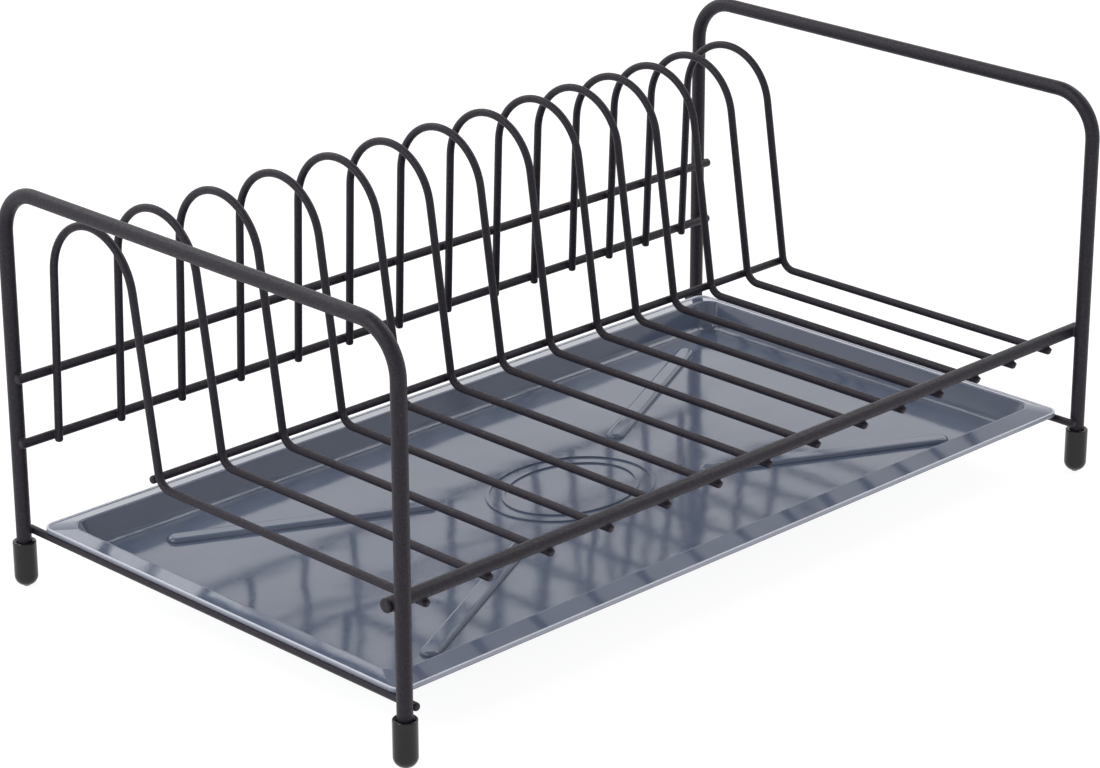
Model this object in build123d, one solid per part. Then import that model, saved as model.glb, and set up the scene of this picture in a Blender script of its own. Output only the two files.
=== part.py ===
from build123d import *
import os
from math import atan2, cos, degrees, radians, sin, tan

# Dish drying rack: two bent end frames joined by long rails, a row of bent plate hoops,
# soft caps on the four feet and a moulded drip tray that slides on two runners.
# Row frame: X along the rack, -Y to the front, +Z up, origin on the floor under the middle.
# Sizes are in millimetres. Wire heights and positions are of the wire's centre line.

# Overall sizes, between the centre lines of the legs
leg_spacing_x = 414.0
leg_spacing_y = 237.0
top_bar_height = 177.0

# Coated wire diameters
frame_wire_d = 6.4
front_rail_d = 6.0
rear_rail_d = 4.0
hoop_wire_d = 3.5
seat_rail_d = 3.5
runner_wire_d = 3.5

# Welds and wire ends
weld_set_down = 0.3
wire_end_round = 1.0

# End frames
frame_corner_r = 20.0

# Rails
upper_rail_height = 94.7
lower_rail_height = 65.9
front_rail_height = 66.4
runner_height = 24.2
rear_rail_overhang = 2.5
front_rail_overhang = 4.0
runner_overhang = 2.2
seat_rail_overhang = 2.2
seat_rail_angle = 24.0

# Plate hoops: one weight for each gap, wide gaps at the left and narrow ones at the right
hoop_margin_left = 15.7
hoop_margin_right = 18.8
hoop_gap_weights = [1.31] * 4 + [1.20] * 4 + [1.0] * 5
hoop_top_height = 164.2
hoop_spread = 66.0
hoop_rear_lean = 2.3
hoop_front_slant = 8.85
hoop_bend_r = 7.0
hoop_rear_tail = 0.9
hoop_front_tail = 2.6

# Foot caps
cap_wall = 1.85
cap_height = 20.5
cap_floor = 4.0
cap_dome_height = 4.8
cap_nub_r = 1.4
cap_nub_height = 0.4
cap_lip_round = 0.6
cap_mouth_chamfer = 0.9

# Drip tray
tray_side_clearance = 0.5
tray_rest_clearance = 0.3
tray_end_setback = 7.3
tray_wall = 1.4
tray_side_rim_width = 7.3
tray_end_rim_width = 10.5
tray_rim_drop = 2.4
tray_rim_corner_r = 5.5
tray_well_depth = 12.6
tray_wall_run = 4.0
tray_well_corner_r = 7.5
tray_floor_round = 4.0
tray_lip_round = 1.0
tray_edge_round = 0.5
rib_width = 8.6
rib_height = 2.0
rib_end_inset_x = 31.0
rib_end_inset_y = 16.0
rib_inner_gap = 0.335
badge_length = 82.0
badge_width = 66.0
badge_ring_width = 1.6
badge_ring_height = 0.7
badge_ring_step = 7.0

# Places that follow from the sizes above
leg_x = leg_spacing_x / 2
leg_y = leg_spacing_y / 2
frame_r = frame_wire_d / 2
front_rail_r = front_rail_d / 2
rear_rail_r = rear_rail_d / 2
hoop_r = hoop_wire_d / 2
seat_rail_r = seat_rail_d / 2
runner_r = runner_wire_d / 2
rear_rail_y = leg_y - (frame_r + rear_rail_r - weld_set_down)
front_rail_y = -leg_y + (frame_r + front_rail_r - weld_set_down)
runner_x = leg_x - (frame_r + runner_r - weld_set_down)
hoop_rear_y = rear_rail_y - (rear_rail_r + hoop_r - weld_set_down)
run_height = front_rail_height - (front_rail_r + hoop_r - weld_set_down)
seat_corner_y = hoop_rear_y - hoop_spread


def straight_wire(start, end, diameter):
    """A straight round wire with softly rounded ends."""
    axis = Vector(*end) - Vector(*start)
    rod = Plane(origin=start, z_dir=axis) * Cylinder(
        diameter / 2, axis.length, align=(Align.CENTER, Align.CENTER, Align.MIN))
    return fillet(rod.edges().filter_by(GeomType.CIRCLE), wire_end_round)


def bent_wire(points, radii, diameter):
    """A round wire along straight runs joined by tangent bends."""
    path = FilletPolyline(*points, radius=radii)
    profile = Plane(origin=path @ 0, z_dir=path % 0) * Circle(diameter / 2)
    return sweep(profile, path=path)


def rounded_ends(wire):
    """Round the rims of the two flat faces that end a bent wire."""
    return fillet(wire.faces().filter_by(GeomType.PLANE).edges(), wire_end_round)


def end_frame(side):
    """An inverted U: two legs and a top bar bent from one thick wire."""
    x = side * leg_x
    points = [(x, -leg_y, cap_floor), (x, -leg_y, top_bar_height),
              (x, leg_y, top_bar_height), (x, leg_y, cap_floor)]
    return bent_wire(points, [frame_corner_r, frame_corner_r], frame_wire_d)


def long_rail(y, z, diameter, overhang):
    """A rail along X that runs past both pairs of legs."""
    reach = leg_x + overhang
    return straight_wire((-reach, y, z), (reach, y, z), diameter)


def tray_runner(side):
    """A short rail on the inner side of the two legs of one end frame."""
    x, reach = side * runner_x, leg_y + runner_overhang
    return straight_wire((x, -reach, runner_height), (x, reach, runner_height), runner_wire_d)


def hoop_positions():
    """X of each hoop: the gaps share the length between the two margins by weight."""
    first = -leg_x + hoop_margin_left
    clear = leg_spacing_x - hoop_margin_left - hoop_margin_right
    unit = clear / sum(hoop_gap_weights)
    return [first + unit * sum(hoop_gap_weights[:i]) for i in range(len(hoop_gap_weights) + 1)]


def hoop_rear_at(z):
    """Y of the hoop's rear wire, which leans forward as it rises."""
    return hoop_rear_y - (z - upper_rail_height) * tan(radians(hoop_rear_lean))


def hoop_apex_z():
    """Height where the lines of the rear wire and of the front slant would meet."""
    lean, slant = tan(radians(hoop_rear_lean)), tan(radians(hoop_front_slant))
    return (hoop_spread + upper_rail_height * lean + run_height * slant) / (lean + slant)


def hoop_arch_r():
    """Radius of the round top that touches both lines and reaches hoop_top_height."""
    half_angle = radians(hoop_rear_lean + hoop_front_slant) / 2
    tilt = radians(hoop_front_slant - hoop_rear_lean) / 2
    reach = (hoop_apex_z() - hoop_top_height) / (cos(tilt) - sin(half_angle))
    return reach * sin(half_angle)


def seat_rail_place():
    """(y, z) of the seat rail, which nests behind the bend at the foot of the slant."""
    slant = radians(hoop_front_slant)
    bend_z = run_height + hoop_bend_r
    bend_y = seat_corner_y + hoop_bend_r * tan(slant) - hoop_bend_r / cos(slant)
    reach = hoop_bend_r + hoop_r + seat_rail_r - weld_set_down
    below = radians(seat_rail_angle)
    return bend_y + reach * cos(below), bend_z - reach * sin(below)


def plate_hoop(x):
    """Rear wire, round top, front slant, tight bend and bottom run, bent from one wire."""
    tail_z = lower_rail_height - rear_rail_r - hoop_rear_tail
    apex_z = hoop_apex_z()
    points = [(x, hoop_rear_at(tail_z), tail_z), (x, hoop_rear_at(apex_z), apex_z),
              (x, seat_corner_y, run_height), (x, front_rail_y - hoop_front_tail, run_height)]
    wire = bent_wire(points, [hoop_arch_r(), hoop_bend_r], hoop_wire_d)
    return rounded_ends(wire)


def foot_cap(side_x, side_y):
    """A soft domed cap pushed over the lower end of a leg."""
    outer_r = frame_r + cap_wall
    profile = make_face([
        Line((0, 0), (cap_nub_r, 0)),
        Line((cap_nub_r, 0), (cap_nub_r, cap_nub_height)),
        TangentArc((outer_r, cap_dome_height), (cap_nub_r, cap_nub_height), tangent=(0, -1)),
        Line((outer_r, cap_dome_height), (outer_r, cap_height)),
        Line((outer_r, cap_height), (frame_r, cap_height)),
        Line((frame_r, cap_height), (frame_r, cap_floor)),
        Line((frame_r, cap_floor), (0, cap_floor)),
        Line((0, cap_floor), (0, 0)),
    ])
    cap = revolve(Plane.XZ * profile, Axis.Z)
    rims = cap.edges().filter_by(GeomType.CIRCLE).group_by(Axis.Z)[-1].sort_by(SortBy.RADIUS)
    cap = chamfer(rims[0], cap_mouth_chamfer)
    rims = cap.edges().filter_by(GeomType.CIRCLE).group_by(Axis.Z)[-1].sort_by(SortBy.RADIUS)
    cap = fillet(rims[-1], cap_lip_round)
    return Pos(side_x * leg_x, side_y * leg_y, 0) * cap


def tapered_block(half_x, half_y, corner_r, bottom, top_half_x, top_half_y, top_corner_r, top):
    """A block between two rounded rectangles at different heights."""
    lower = Pos(0, 0, bottom) * RectangleRounded(2 * half_x, 2 * half_y, corner_r)
    upper = Pos(0, 0, top) * RectangleRounded(2 * top_half_x, 2 * top_half_y, top_corner_r)
    return loft([lower, upper], ruled=True)


def well_solid(half_x, half_y, corner_r, top, bottom, round_r):
    """A rounded block that narrows downwards by tray_wall_run, with a rounded lower edge."""
    block = tapered_block(half_x - tray_wall_run, half_y - tray_wall_run, corner_r, bottom,
                          half_x, half_y, corner_r, top)
    return fillet(block.faces().sort_by(Axis.Z)[0].edges(), round_r)


def tray_sizes():
    """Rim half sizes, well half sizes, and the heights of the rim's edge underside, its top and the floor."""
    rim_x = leg_x - frame_r - tray_side_clearance
    rim_y = leg_y - tray_end_setback
    edge_under = runner_height + runner_r + tray_rest_clearance
    rim_top = edge_under + tray_wall + tray_rim_drop
    floor = rim_top - tray_well_depth
    return (rim_x, rim_y, rim_x - tray_side_rim_width, rim_y - tray_end_rim_width,
            edge_under, rim_top, floor)


def tray_rim(rim_x, rim_y, well_x, well_y, edge_under, rim_top):
    """A plate that rises from its upright edge to the mouth of the well."""
    edge_top = edge_under + tray_wall
    edge = Pos(0, 0, edge_under) * extrude(
        RectangleRounded(2 * rim_x, 2 * rim_y, tray_rim_corner_r), tray_wall)
    slopes = [tapered_block(rim_x, rim_y, tray_rim_corner_r, bottom,
                            well_x, well_y, tray_well_corner_r, bottom + tray_rim_drop)
              for bottom in (edge_top, edge_under)]
    rim = edge + slopes[0] - slopes[1]
    shoulder = rim.edges().filter_by_position(Axis.Z, edge_top - 0.01, edge_top + 0.01)
    return fillet(shoulder, tray_edge_round)


def tray_ribs(well_x, well_y, floor):
    """Four raised diagonal ribs that run from near the corners towards the middle."""
    outer = Vector(well_x - tray_wall_run - rib_end_inset_x, well_y - tray_wall_run - rib_end_inset_y)
    inner = outer * rib_inner_gap
    span = outer - inner
    ribs = []
    for side_x in (-1, 1):
        for side_y in (-1, 1):
            middle = (outer + inner) / 2
            angle = side_x * side_y * degrees(atan2(span.Y, span.X))
            slot = extrude(SlotOverall(span.length, rib_width), rib_height + tray_wall / 2)
            slot = fillet(slot.faces().sort_by(Axis.Z)[-1].edges(), rib_height * 0.95)
            ribs.append(Pos(side_x * middle.X, side_y * middle.Y, floor - tray_wall / 2)
                        * Rot(0, 0, angle) * slot)
    return ribs


def tray_badge(floor):
    """Plain raised oval rings in the middle of the floor."""
    rings = []
    for step in range(2):
        half_x = badge_length / 2 - step * badge_ring_step
        half_y = badge_width / 2 - step * badge_ring_step
        ring = Ellipse(half_x, half_y) - Ellipse(half_x - badge_ring_width, half_y - badge_ring_width)
        rings.append(Pos(0, 0, floor - tray_wall / 2)
                     * extrude(ring, badge_ring_height + tray_wall / 2))
    return rings


def drip_tray():
    """A thin moulded tray: sloping rim, steep walls, rounded floor edge, ribs and badge."""
    rim_x, rim_y, well_x, well_y, edge_under, rim_top, floor = tray_sizes()
    rim = tray_rim(rim_x, rim_y, well_x, well_y, edge_under, rim_top)
    shell = well_solid(well_x + tray_wall, well_y + tray_wall, tray_well_corner_r + tray_wall,
                       rim_top - 0.7 * tray_wall, floor - tray_wall, tray_floor_round + tray_wall)
    well = well_solid(well_x, well_y, tray_well_corner_r, rim_top, floor, tray_floor_round)
    tray = rim + shell - well
    mouth = tray.edges().filter_by_position(Axis.Z, rim_top - 0.01, rim_top + 0.01)
    tray = fillet(mouth, tray_lip_round)
    for detail in tray_ribs(well_x, well_y, floor) + tray_badge(floor):
        tray += detail
    return tray


def build_parts():
    """Every node of the rack, by name."""
    frames = {"left_end_frame": end_frame(-1), "right_end_frame": end_frame(1)}
    posts = list(frames.values())
    seat_y, seat_z = seat_rail_place()
    hoops_x = hoop_positions()
    rails = {
        "rear_upper_rail": long_rail(rear_rail_y, upper_rail_height, rear_rail_d, rear_rail_overhang),
        "rear_lower_rail": long_rail(rear_rail_y, lower_rail_height, rear_rail_d, rear_rail_overhang),
        "front_rail": long_rail(front_rail_y, front_rail_height, front_rail_d, front_rail_overhang),
        "left_tray_runner": tray_runner(-1),
        "right_tray_runner": tray_runner(1),
    }
    # a welded wire is notched where it sinks onto the wire that carries it
    parts = dict(frames)
    for name, rail in rails.items():
        parts[name] = (rail - posts).solid()
    seat_rail = straight_wire((hoops_x[0] - seat_rail_overhang, seat_y, seat_z),
                              (hoops_x[-1] + seat_rail_overhang, seat_y, seat_z), seat_rail_d)
    parts["seat_rail"] = seat_rail
    carriers = [rails["rear_upper_rail"], rails["rear_lower_rail"], rails["front_rail"], seat_rail]
    for number, x in enumerate(hoops_x, start=1):
        parts[f"plate_hoop_{number:02d}"] = (plate_hoop(x) - carriers).solid()
    for side_x, end in ((-1, "left"), (1, "right")):
        for side_y, face in ((-1, "front"), (1, "rear")):
            parts[f"foot_cap_{face}_{end}"] = foot_cap(side_x, side_y)
    parts["drip_tray"] = drip_tray().solid()
    return parts


os.makedirs("parts", exist_ok=True)
for name, part in build_parts().items():
    export_step(part, f"parts/{name}.step")
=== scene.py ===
"""Looks for the wire dish drying rack with its sliding drip tray."""
import math

import bmesh
import bpy
import numpy as np
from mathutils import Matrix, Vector


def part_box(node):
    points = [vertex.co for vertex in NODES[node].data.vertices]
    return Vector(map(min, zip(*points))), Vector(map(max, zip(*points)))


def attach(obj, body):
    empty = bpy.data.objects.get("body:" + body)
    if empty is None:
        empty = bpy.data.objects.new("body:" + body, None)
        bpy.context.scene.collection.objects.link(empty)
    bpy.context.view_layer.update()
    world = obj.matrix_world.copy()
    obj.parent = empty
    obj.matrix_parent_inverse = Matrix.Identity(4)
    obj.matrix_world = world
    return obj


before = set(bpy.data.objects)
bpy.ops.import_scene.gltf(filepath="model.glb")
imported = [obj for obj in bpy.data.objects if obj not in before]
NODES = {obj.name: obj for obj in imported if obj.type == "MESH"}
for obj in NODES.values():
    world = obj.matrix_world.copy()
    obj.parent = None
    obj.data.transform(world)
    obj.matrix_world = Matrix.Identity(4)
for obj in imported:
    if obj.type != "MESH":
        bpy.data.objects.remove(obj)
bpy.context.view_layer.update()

HOOPS = sorted(name for name in NODES if name.startswith("plate_hoop_"))
MM = 0.001


def add_object(name, data):
    """Puts a mesh, a light or a camera into the scene."""
    thing = bpy.data.objects.new(name, data)
    bpy.context.scene.collection.objects.link(thing)
    return thing


# ---------------------------------------------------------------- materials

class Graph:
    """A short way to build a material's nodes."""

    def __init__(self, name):
        self.material = bpy.data.materials.new(name)
        self.material.use_nodes = True
        self.tree = self.material.node_tree
        self.tree.nodes.clear()
        self.out = self.tree.nodes.new("ShaderNodeOutputMaterial")
        self.shader = self.tree.nodes.new("ShaderNodeBsdfPrincipled")
        self.link(self.shader.outputs["BSDF"], self.out.inputs["Surface"])
        self.place = self.tree.nodes.new("ShaderNodeTexCoord").outputs["Object"]

    def link(self, source, target):
        self.tree.links.new(source, target)

    def set(self, **sockets):
        """Sets the shader's own sockets, with _ for a space in their names."""
        for name, value in sockets.items():
            self.shader.inputs[name.replace("_", " ")].default_value = value

    def to(self, socket, source):
        """Links a source to one of the shader's sockets."""
        self.link(source, self.shader.inputs[socket])

    def noise(self, scale, detail=2.0, roughness=0.5, stretch=None):
        node = self.tree.nodes.new("ShaderNodeTexNoise")
        node.inputs["Scale"].default_value = scale
        node.inputs["Detail"].default_value = detail
        node.inputs["Roughness"].default_value = roughness
        source = self.place
        if stretch:
            mapping = self.tree.nodes.new("ShaderNodeMapping")
            mapping.inputs["Scale"].default_value = stretch
            self.link(source, mapping.inputs["Vector"])
            source = mapping.outputs["Vector"]
        self.link(source, node.inputs["Vector"])
        return node.outputs["Fac"]

    def ramp(self, fac, stops):
        node = self.tree.nodes.new("ShaderNodeValToRGB")
        ends = node.color_ramp.elements
        while len(ends) < len(stops):
            ends.new(0.5)
        for element, (position, color) in zip(ends, stops):
            element.position = position
            element.color = (*color, 1.0)
        self.link(fac, node.inputs["Fac"])
        return node.outputs["Color"]

    def span(self, fac, low, high, from_low=0.3, from_high=0.7):
        """Maps from_low..from_high, by default most of a noise's range, to low..high."""
        node = self.tree.nodes.new("ShaderNodeMapRange")
        node.inputs["From Min"].default_value = from_low
        node.inputs["From Max"].default_value = from_high
        node.inputs["To Min"].default_value = low
        node.inputs["To Max"].default_value = high
        self.link(fac, node.inputs["Value"])
        return node.outputs["Result"]

    def bump(self, height, strength, distance, below=None):
        """A bump, laid over the bump below it where one is given."""
        node = self.tree.nodes.new("ShaderNodeBump")
        node.inputs["Strength"].default_value = strength
        node.inputs["Distance"].default_value = distance
        self.link(height, node.inputs["Height"])
        if below is not None:
            self.link(below, node.inputs["Normal"])
        return node.outputs["Normal"]


def coated_wire():
    """Satin black coating: a soft orange peel over fine grain."""
    g = Graph("coated_wire")
    g.set(Specular_IOR_Level=0.22)
    g.to("Base Color", g.ramp(g.noise(1100.0, detail=3.0, roughness=0.65), [
        (0.30, (0.0098, 0.0076, 0.0124)),
        (0.55, (0.0160, 0.0126, 0.0196)),
        (0.75, (0.0310, 0.0262, 0.0360))]))
    g.to("Roughness", g.span(g.noise(1500.0), 0.34, 0.58))
    grain = g.bump(g.noise(3200.0, roughness=0.6), strength=0.45, distance=0.14 * MM)
    g.to("Normal", g.bump(g.noise(380.0), strength=0.35, distance=0.40 * MM, below=grain))
    return g.material


def foot_vinyl():
    """Glossy dipped vinyl with faint runs down its side."""
    g = Graph("foot_vinyl")
    g.set(Specular_IOR_Level=0.34)
    g.to("Base Color", g.ramp(g.noise(300.0), [
        (0.3, (0.0050, 0.0045, 0.0056)),
        (0.7, (0.0082, 0.0075, 0.0090))]))
    g.to("Roughness", g.span(g.noise(700.0), 0.06, 0.13))
    runs = g.noise(140.0, stretch=(1.0, 1.0, 0.22))
    g.to("Normal", g.bump(runs, strength=0.40, distance=1.0 * MM))
    return g.material


def moulding_grain(g, below=None):
    """The very fine grain that the tray's surface and its edge share."""
    grain = g.noise(1800.0, roughness=0.6)
    g.to("Normal", g.bump(grain, strength=0.08, distance=0.08 * MM, below=below))


def tray_plastic():
    """Glossy moulded plastic with a very fine grain over slow waves."""
    g = Graph("tray_plastic")
    g.set(Specular_IOR_Level=0.5, IOR=1.5)
    g.to("Base Color", g.ramp(g.noise(60.0, detail=3.0), [
        (0.3, (0.083, 0.102, 0.152)),
        (0.7, (0.092, 0.111, 0.164))]))
    g.to("Roughness", g.span(g.noise(400.0), 0.07, 0.13))
    moulding_grain(g, below=g.bump(g.noise(16.0), strength=0.40, distance=1.7 * MM))
    return g.material


def tray_edge_painted_light(top):
    """The thin lip, whose crest is at height top: paler all over as a painted reflection of
    the bright floor, and brighter still at its crest as a painted highlight.
    """
    fade_low, fade_high = top - 0.55 * MM, top - 0.15 * MM
    mottling = 0.25
    g = Graph("tray_edge_painted_light")
    g.set(Specular_IOR_Level=0.5, IOR=1.5)
    split = g.tree.nodes.new("ShaderNodeSeparateXYZ")
    g.link(g.place, split.inputs[0])
    # painted highlight: 0 below the crest band, rising to 1 at the crest
    crest_highlight = g.span(split.outputs["Z"], 0.0, 1.0, fade_low, fade_high)
    highlight_and_mottling = g.tree.nodes.new("ShaderNodeMath")
    highlight_and_mottling.operation = "MULTIPLY_ADD"
    g.link(g.noise(240.0, detail=3.0, roughness=0.6), highlight_and_mottling.inputs[0])
    highlight_and_mottling.inputs[1].default_value = mottling
    g.link(crest_highlight, highlight_and_mottling.inputs[2])
    # painted reflection and highlight: far paler than the tray's own colour, palest at the
    # crest; the noise adds random mottling
    g.to("Base Color", g.ramp(highlight_and_mottling.outputs[0], [
        (0.05, (0.205, 0.224, 0.278)),
        (0.25, (0.235, 0.255, 0.312)),
        (0.95, (0.480, 0.500, 0.560))]))
    g.to("Roughness", g.span(g.noise(900.0), 0.14, 0.26))
    moulding_grain(g)
    return g.material


FINISH = {
    "coated_wire": coated_wire(),
    "foot_vinyl": foot_vinyl(),
    "tray_plastic": tray_plastic(),
}
for node in NODES.values():
    for place in node.material_slots:
        place.material = FINISH[place.material.name.split(".")[0]]


# ---------------------------------------------------------------- weld beads

# how the wires lie where they are welded
HOOP_LEAN = math.radians(2.3)    # the rear wires of the hoops lean forward
SEAT_NEST = math.radians(24.0)   # the seat rail looks up this much to the hoop's bend
SET_DOWN = 0.3 * MM              # welded wires sink into each other
REAR_TAIL = 0.9 * MM             # the hoops end this far under the lower rail

# the fillet between two welded wires
RAIL_FILLET = 1.6 * MM
RUNNER_FILLET = 0.8 * MM
HOOP_FILLET = 1.1 * MM
SEAT_FILLET = 1.0 * MM

# a bead's surface
BEAD_REACH = 1.9                 # in radii of the thinner wire
BEAD_SWELL = 0.10 * MM           # stands proud at its middle
BEAD_RIPPLE = 0.05 * MM
BEAD_FADE = 0.55 * MM            # sinks into the wires toward its reach
RIPPLE_ONE = np.array([5.1, 3.7, 4.3])
RIPPLE_TWO = np.array([-3.1, 6.3, 2.9])
MARCH_STOPS = 40
HALVINGS = 14

# half lengths of the stretches of wire that shape a bead
STRETCH = 20 * MM
RUN_STRETCH = 30 * MM
BEND_STRETCH = 4 * MM
SEAT_END_STRETCH = 0.6 * MM      # at the first and last hoop the seat rail soon ends
UPRIGHT_LENGTH = 60 * MM         # whole length, from the foot up


def node_axis(name, along):
    """Middle point, half length along one axis and radius of a straight wire."""
    low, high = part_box(name)
    size = high - low
    radius = min(size[i] for i in range(3) if i != along) / 2
    return (low + high) / 2, size[along] / 2, radius


def stretch_of_wire(center, direction, half, radius):
    """A wire is given as the start and end of its middle line, and its radius."""
    center, direction = Vector(center), Vector(direction).normalized()
    return (center - half * direction, center + half * direction, radius)


def wire_distance(points, wire):
    """Signed distance from points to a straight wire with round ends."""
    start, end, radius = wire
    start, run = np.array(start), np.array(end) - np.array(start)
    t = np.clip((points - start) @ run / (run @ run), 0.0, 1.0)
    return np.linalg.norm(points - start - t[:, None] * run, axis=1) - radius


def bead_height(points, center, wires, fillet, reach, phase):
    """Above 0 outside the bead: two wires joined by a soft fillet, proud at the middle."""
    a, b = (wire_distance(points, wire) for wire in wires)
    mix = np.clip(0.5 + 0.5 * (b - a) / fillet, 0.0, 1.0)
    joined = b * (1 - mix) + a * mix - fillet * mix * (1 - mix)
    offset = (points - center) / reach
    ripple = np.sin(offset @ RIPPLE_ONE + phase) * np.sin(offset @ RIPPLE_TWO + 2 * phase)
    fade = np.sum(offset ** 2, axis=1)
    return joined - (BEAD_SWELL + BEAD_RIPPLE * ripple) + BEAD_FADE * fade


def add_bead(beads, center, wires, fillet, phase):
    """Adds one closed bead: a ball whose points move out to the bead's surface."""
    center = np.array(center)
    reach = BEAD_REACH * min(radius for _, _, radius in wires)
    ball = bmesh.new()
    bmesh.ops.create_icosphere(ball, subdivisions=4, radius=1.0)
    rays = np.array([vertex.co[:] for vertex in ball.verts])

    def is_outside(distances):
        points = center + rays * distances[:, None]
        return bead_height(points, center, wires, fillet, reach, phase) > 0

    near, far = np.zeros(len(rays)), np.full(len(rays), reach)
    found = np.zeros(len(rays), bool)
    for stop in np.linspace(0.0, reach, MARCH_STOPS)[1:]:
        outside = is_outside(np.full(len(rays), stop))
        far = np.where(~found & outside, stop, far)
        near = np.where(~found & ~outside, stop, near)
        found |= outside
    for _ in range(HALVINGS):
        middle = (near + far) / 2
        outside = is_outside(middle)
        far, near = np.where(outside, middle, far), np.where(outside, near, middle)

    surface = center + rays * np.where(found, near, reach)[:, None]
    for vertex, place in zip(ball.verts, surface):
        vertex.co = place
    mesh = bpy.data.meshes.new("bead")
    ball.to_mesh(mesh)
    ball.free()
    beads.from_mesh(mesh)
    bpy.data.meshes.remove(mesh)


def finish_beads(beads, name):
    """Turns the collected beads into one coated piece of the rack."""
    mesh = bpy.data.meshes.new(name)
    for face in beads.faces:
        face.smooth = True
    beads.to_mesh(mesh)
    beads.free()
    piece = add_object(name, mesh)
    mesh.materials.append(FINISH["coated_wire"])
    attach(piece, "rack")


def weld_frame():
    """Three rails and a runner on the legs at each side. Returns the mesh with the beads."""
    frame_low, frame_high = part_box("right_end_frame")
    leg_r = (frame_high.x - frame_low.x) / 2
    leg_x = (frame_high.x + frame_low.x) / 2
    leg_y = frame_high.y - leg_r
    beads = bmesh.new()
    for side, hand in ((-1, "left"), (1, "right")):
        for rail, face in (("rear_upper_rail", 1), ("rear_lower_rail", 1), ("front_rail", -1)):
            middle, half, radius = node_axis(rail, 0)
            axis = (side * leg_x, face * leg_y, middle.z)
            leg = stretch_of_wire(axis, (0, 0, 1), STRETCH, leg_r)
            rod = stretch_of_wire(middle, (1, 0, 0), half - radius, radius)
            touch = (side * leg_x, face * (leg_y - leg_r), middle.z)
            phase = side + face + 90 * middle.z
            add_bead(beads, touch, (rod, leg), RAIL_FILLET, phase)
        middle, half, radius = node_axis(hand + "_tray_runner", 1)
        for face in (-1, 1):
            axis = (side * leg_x, face * leg_y, middle.z)
            leg = stretch_of_wire(axis, (0, 0, 1), STRETCH, leg_r)
            rod = stretch_of_wire(middle, (0, 1, 0), half - radius, radius)
            touch = (side * (leg_x - leg_r), face * leg_y, middle.z)
            add_bead(beads, touch, (rod, leg), RUNNER_FILLET, side + 2 * face)
    return beads


def weld_hoops():
    """Four welds on each hoop. Returns the mesh with the beads."""
    upper, _, rear_r = node_axis("rear_upper_rail", 0)
    lower, _, _ = node_axis("rear_lower_rail", 0)
    front, _, front_r = node_axis("front_rail", 0)
    seat, _, seat_r = node_axis("seat_rail", 0)
    along = (1, 0, 0)
    lean = Vector((0, -math.sin(HOOP_LEAN), math.cos(HOOP_LEAN)))
    to_bend = Vector((0, -math.cos(SEAT_NEST), math.sin(SEAT_NEST)))
    bend_run = (0, math.sin(SEAT_NEST), math.cos(SEAT_NEST))
    beads = bmesh.new()
    for number, name in enumerate(HOOPS):
        low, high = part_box(name)
        x, hoop_r = (low.x + high.x) / 2, (high.x - low.x) / 2

        # the rear wire on the front side of both rear rails
        rear_y = high.y - hoop_r * math.cos(HOOP_LEAN)
        foot = Vector((x, rear_y, lower.z - rear_r - REAR_TAIL))
        upright = (foot + hoop_r * lean, foot + UPRIGHT_LENGTH * lean, hoop_r)
        for rail in (upper, lower):
            rod = stretch_of_wire((x, rail.y, rail.z), along, STRETCH, rear_r)
            hoop_y = rear_y - (rail.z - foot.z) * math.tan(HOOP_LEAN)
            touch = (x, (rail.y - rear_r + hoop_y + hoop_r) / 2, rail.z)
            add_bead(beads, touch, (upright, rod), HOOP_FILLET, number + 50 * rail.z)

        # the bottom run under the front rail
        run_z = front.z - front_r - hoop_r + SET_DOWN
        run_middle = (x, low.y + RUN_STRETCH, run_z)
        run = stretch_of_wire(run_middle, (0, 1, 0), RUN_STRETCH, hoop_r)
        rod = stretch_of_wire((x, front.y, front.z), along, STRETCH, front_r)
        touch = (x, front.y, front.z - front_r)
        add_bead(beads, touch, (run, rod), HOOP_FILLET, number * 1.7)

        # the bend in front of the seat rail
        on_seat = Vector((x, seat.y, seat.z))
        bend = on_seat + (hoop_r + seat_r - SET_DOWN) * to_bend
        bent = stretch_of_wire(bend, bend_run, BEND_STRETCH, hoop_r)
        at_end = number in (0, len(HOOPS) - 1)
        rod = stretch_of_wire(on_seat, along, SEAT_END_STRETCH if at_end else STRETCH, seat_r)
        touch = on_seat + seat_r * to_bend
        add_bead(beads, touch, (bent, rod), SEAT_FILLET, number * 2.3)
    return beads


finish_beads(weld_frame(), "frame_weld_beads")
finish_beads(weld_hoops(), "hoop_weld_beads")


# ---------------------------------------------------------------- rim lip of the tray

TRAY_WALL = 1.4 * MM
RIM_DROP = 2.4 * MM              # the rim slopes down this much to its edge
RIM_CORNER_R = 5.5 * MM
LIP_RISE = 0.80 * MM             # above the rim's edge
LIP_PROUD = 0.06 * MM            # out past the rim's edge
LIP_ROUND = 0.38 * MM            # the outer top edge
LIP_ROUND_STEPS = 6
CORNER_STEPS = 14
# the lip's other outline points: how far out and how far up, in mm
LIP_BOTTOM_EDGE = 0.05 * MM
LIP_FROM_CREST = ((-0.62, -0.06), (-0.95, -0.34), (-1.50, -1.00))
LIP_FROM_UNDERSIDE = ((-1.30, 0.40), (-0.50, 0.12))


def rounded_loop(half_x, half_y, corner_r):
    """Points and outward directions round a rounded rectangle."""
    loop = []
    for quarter, (side_x, side_y) in enumerate(((1, 1), (-1, 1), (-1, -1), (1, -1))):
        middle = Vector((side_x * (half_x - corner_r), side_y * (half_y - corner_r), 0))
        for step in range(CORNER_STEPS + 1):
            angle = math.pi / 2 * (quarter + step / CORNER_STEPS)
            out = Vector((math.cos(angle), math.sin(angle), 0))
            loop.append((middle + corner_r * out, out))
    return loop


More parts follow.
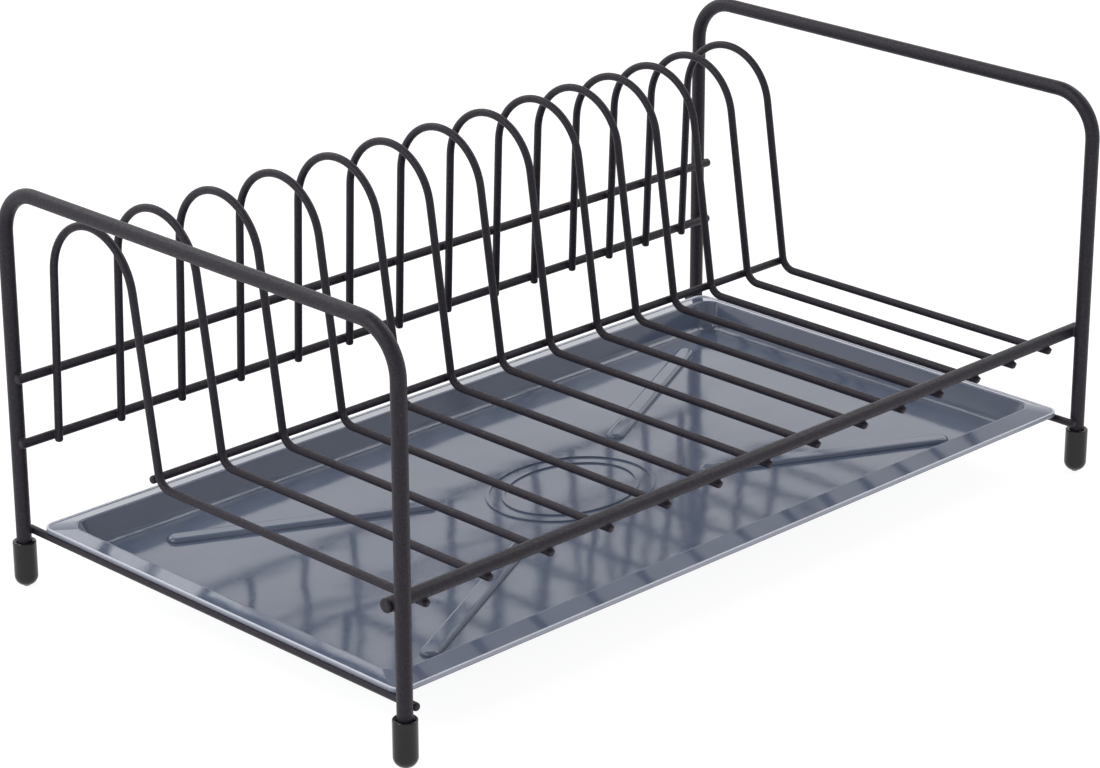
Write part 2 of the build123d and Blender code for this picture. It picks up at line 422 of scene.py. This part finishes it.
def lip_profile(under, crest):
    """The lip's closed outline, as distances out from the rim's edge and heights."""
    profile = [(LIP_PROUD, under + LIP_BOTTOM_EDGE), (LIP_PROUD, crest - LIP_ROUND)]
    for step in range(1, LIP_ROUND_STEPS + 1):
        turn = math.pi / 2 * step / LIP_ROUND_STEPS
        profile.append((LIP_PROUD - LIP_ROUND + LIP_ROUND * math.cos(turn),
                        crest - LIP_ROUND + LIP_ROUND * math.sin(turn)))
    profile += [(out * MM, crest + up * MM) for out, up in LIP_FROM_CREST]
    profile += [(out * MM, under + up * MM) for out, up in LIP_FROM_UNDERSIDE]
    return profile


def tray_lip():
    """A rounded lip that stands along the outer edge of the rim."""
    low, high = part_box("drip_tray")
    center = (low + high) / 2
    half = (high - low) / 2
    under = high.z - (RIM_DROP + TRAY_WALL)
    crest = under + TRAY_WALL + LIP_RISE
    profile = lip_profile(under, crest)
    lip = bmesh.new()
    rings = []
    for point, out in rounded_loop(half.x, half.y, RIM_CORNER_R):
        base = Vector((center.x, center.y, 0)) + point
        rings.append([lip.verts.new(base + across * out + Vector((0, 0, z)))
                      for across, z in profile])
    for ring, after in zip(rings, rings[1:] + rings[:1]):
        for i in range(len(profile)):
            j = (i + 1) % len(profile)
            lip.faces.new((ring[i], after[i], after[j], ring[j])).smooth = True
    bmesh.ops.recalc_face_normals(lip, faces=lip.faces)
    mesh = bpy.data.meshes.new("tray_rim_lip")
    lip.to_mesh(mesh)
    lip.free()
    piece = add_object("tray_rim_lip", mesh)
    # the lip's material paints a reflection and a highlight into its colour
    mesh.materials.append(tray_edge_painted_light(crest))
    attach(piece, "tray")


tray_lip()


# ---------------------------------------------------------------- floor

FLOOR_HALF = 6.0


def floor_paper():
    """Bright paper sweep: it glows enough that only a faint contact shadow is left."""
    g = Graph("floor_paper")
    g.set(Roughness=0.9, Specular_IOR_Level=0.1)
    g.to("Base Color", g.ramp(g.noise(3.0), [
        (0.3, (0.200, 0.200, 0.200)),
        (0.7, (0.196, 0.196, 0.196))]))
    g.set(Emission_Color=(1.0, 1.0, 1.0, 1.0), Emission_Strength=0.90)
    return g.material


floor_mesh = bpy.data.meshes.new("floor")
floor_mesh.from_pydata(
    [(-FLOOR_HALF, -FLOOR_HALF, 0), (FLOOR_HALF, -FLOOR_HALF, 0),
     (FLOOR_HALF, FLOOR_HALF, 0), (-FLOOR_HALF, FLOOR_HALF, 0)],
    [], [(0, 1, 2, 3)])
floor = add_object("floor", floor_mesh)
floor.data.materials.append(floor_paper())


# ---------------------------------------------------------------- sky

SKY_STRENGTH = 1.40
SKY_AHEAD_X, SKY_AHEAD_Y = -0.20, -0.98   # the way in which the sky is dimmer
SKY_DIM_AHEAD, SKY_DIM_TOP = 0.60, 0.30   # shares of the full strength

world = bpy.data.worlds.new("studio")
bpy.context.scene.world = world
world.use_nodes = True
sky = world.node_tree


def sky_math(operation, *values):
    node = sky.nodes.new("ShaderNodeMath")
    node.operation = operation
    for socket, value in zip(node.inputs, values):
        if isinstance(value, (int, float)):
            socket.default_value = value
        else:
            sky.links.new(value, socket)
    return node.outputs[0]


def sky_fall(value, start, end, lowest):
    """Falls softly from 1 to lowest while value goes from start to end."""
    node = sky.nodes.new("ShaderNodeMapRange")
    node.interpolation_type = "SMOOTHSTEP"
    node.inputs["From Min"].default_value = start
    node.inputs["From Max"].default_value = end
    node.inputs["To Min"].default_value = 1.0
    node.inputs["To Max"].default_value = lowest
    sky.links.new(value, node.inputs["Value"])
    return node.outputs["Result"]


# the studio is white behind and beside the rack, and darker overhead and in front of it
heading = sky.nodes.new("ShaderNodeSeparateXYZ")
sky.links.new(sky.nodes.new("ShaderNodeTexCoord").outputs["Generated"], heading.inputs[0])
ahead = sky_math("MULTIPLY_ADD", heading.outputs["X"], SKY_AHEAD_X,
                 sky_math("MULTIPLY", heading.outputs["Y"], SKY_AHEAD_Y))
dim_ahead = sky_fall(ahead, 0.15, 0.85, SKY_DIM_AHEAD)
dim_top = sky_fall(heading.outputs["Z"], 0.50, 0.85, SKY_DIM_TOP)
glow = sky_math("MULTIPLY", sky_math("MULTIPLY", dim_ahead, dim_top), SKY_STRENGTH)

# the backdrop itself never looks darker than white
seen = sky.nodes.new("ShaderNodeLightPath").outputs["Is Camera Ray"]
background = sky.nodes["Background"]
background.inputs["Color"].default_value = (1.0, 1.0, 1.0, 1.0)
sky.links.new(sky_math("MAXIMUM", glow, seen), background.inputs["Strength"])
bpy.context.scene.view_settings.view_transform = "Standard"


# ---------------------------------------------------------------- lights and camera

LIGHT_TARGET = Vector((0.0, 0.0, 0.06))
VIEW_TARGET = Vector((0.01185, 0.00600, 0.06201))
VIEW_AZIMUTH, VIEW_ELEVATION, VIEW_DISTANCE = -45.17, 21.19, 1.54854
VIEW_LENS, VIEW_SENSOR = 115.95, 36.0
VIEW_SHIFT_X, VIEW_SHIFT_Y = -0.0272, -0.0007
VIEW_END = 50.0


def point_at(thing, target, azimuth, elevation, distance):
    """Places a light or the camera: azimuth 0 is in front of the rack, and 90 at its right."""
    a, e = math.radians(azimuth), math.radians(elevation)
    back = Vector((math.sin(a) * math.cos(e), -math.cos(a) * math.cos(e), math.sin(e)))
    thing.location = target + distance * back
    thing.rotation_euler = back.to_track_quat("Z", "Y").to_euler()


def softbox(name, azimuth, elevation, distance, size, watts):
    light = bpy.data.lights.new(name, "AREA")
    light.shape = "RECTANGLE"
    light.size, light.size_y = size
    light.energy = watts
    point_at(add_object(name, light), LIGHT_TARGET, azimuth, elevation, distance)


softbox("right_light", azimuth=82.0, elevation=47.0, distance=1.8, size=(0.9, 0.9), watts=7.5)
softbox("rear_light", azimuth=188.0, elevation=47.0, distance=1.8, size=(0.9, 0.9), watts=7.5)
softbox("key_light", azimuth=-100.0, elevation=40.0, distance=1.6, size=(0.25, 0.9), watts=7.0)

camera_data = bpy.data.cameras.new("camera")
camera_data.lens, camera_data.sensor_width = VIEW_LENS, VIEW_SENSOR
camera_data.shift_x, camera_data.shift_y = VIEW_SHIFT_X, VIEW_SHIFT_Y
camera_data.clip_end = VIEW_END
camera = add_object("camera", camera_data)
point_at(camera, VIEW_TARGET, VIEW_AZIMUTH, VIEW_ELEVATION, VIEW_DISTANCE)
bpy.context.scene.camera = camera
